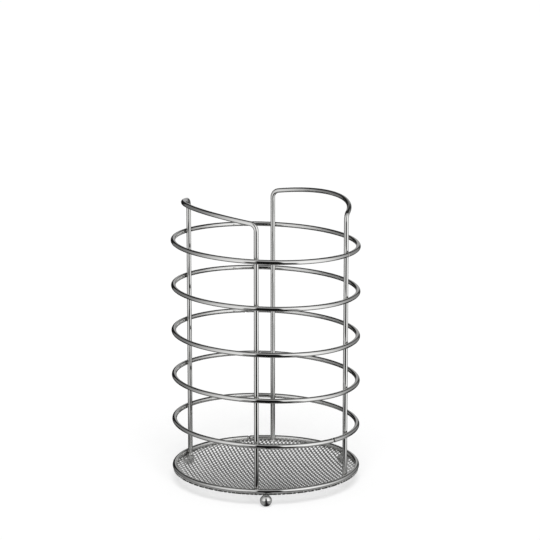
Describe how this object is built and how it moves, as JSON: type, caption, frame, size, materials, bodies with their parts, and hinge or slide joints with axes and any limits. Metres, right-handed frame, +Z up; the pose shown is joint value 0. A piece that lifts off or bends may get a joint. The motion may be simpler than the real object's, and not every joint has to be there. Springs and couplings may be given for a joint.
{
  "type": "utensil crock",
  "caption": "Open round utensil crock of chromed wire: hoops welded round arched frame wires, a dished mesh floor and small ball feet.",
  "frame": {"origin": "on the crock's axis, at the height of the table that the feet stand on", "axes": "+Z up; -Y towards the front foot; +X to the right seen from the front"},
  "size_m": [0.12, 0.1222, 0.1831],
  "materials": {
    "wire_chrome": "polished",
    "mesh_chrome": "bright plated",
    "foot_chrome": "polished"
  },
  "bodies": {
    "root": {"hoop_1": "wire_chrome", "hoop_2": "wire_chrome", "hoop_3": "wire_chrome", "hoop_4": "wire_chrome", "hoop_5": "wire_chrome", "base_ring": "wire_chrome", "frame_wire_right": "wire_chrome", "frame_wire_left": "wire_chrome", "mesh_floor": "mesh_chrome", "foot_front": "foot_chrome", "foot_right": "foot_chrome", "foot_left": "foot_chrome"}
  },
  "joints": []
}
